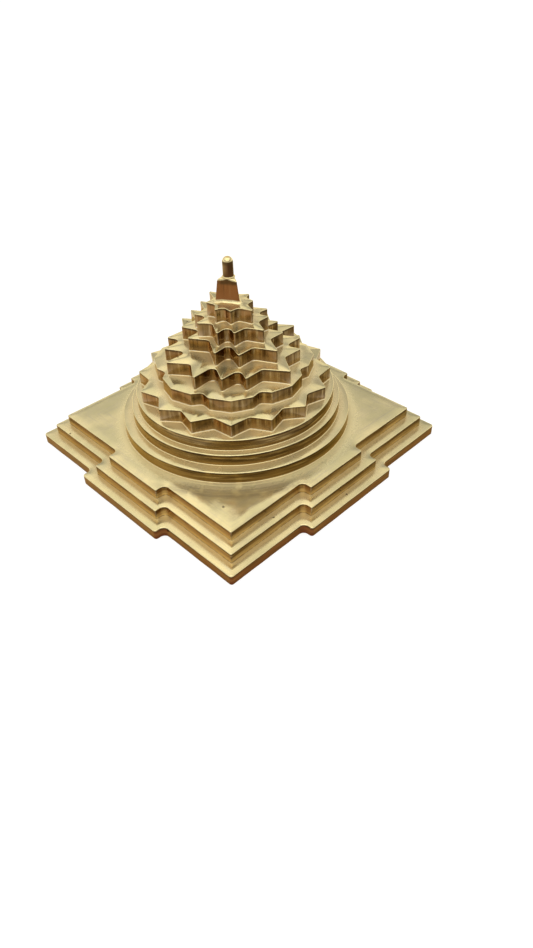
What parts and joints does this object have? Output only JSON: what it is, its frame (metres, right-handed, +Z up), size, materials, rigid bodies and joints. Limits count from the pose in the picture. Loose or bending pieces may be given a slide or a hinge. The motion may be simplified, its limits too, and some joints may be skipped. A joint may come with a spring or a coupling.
{
  "type": "meru shri yantra",
  "caption": "Stepped brass pyramid of gated square plates, round steps, petal plates and star plates, topped by a triangle block and a domed pin; stands on a shelf or altar.",
  "frame": {"origin": "centre of the lowest plate's underside, on the axis of the stack", "axes": "+Z up through the bindu pin, -Y towards the front point of the stars, +X to the right seen from the front"},
  "size_m": [0.1072, 0.1072, 0.0681],
  "materials": {
    "brass": "polished",
    "steel": "turned"
  },
  "bodies": {
    "root": {"lower_square_plate": "brass", "middle_square_plate": "brass", "upper_square_plate": "brass", "lower_round_step": "brass", "middle_round_step": "brass", "upper_round_step": "brass", "sixteen_petal_tier": "brass", "eight_petal_tier": "brass", "fourteen_point_tier": "brass", "outer_ten_point_tier": "brass", "inner_ten_point_tier": "brass", "eight_point_tier": "brass", "triangle_block": "brass", "bindu_pin": "brass", "tie_stud": "steel", "tie_nut": "steel", "tie_washer": "steel", "base_dowels": "steel", "tier_dowels": "steel"}
  },
  "joints": []
}
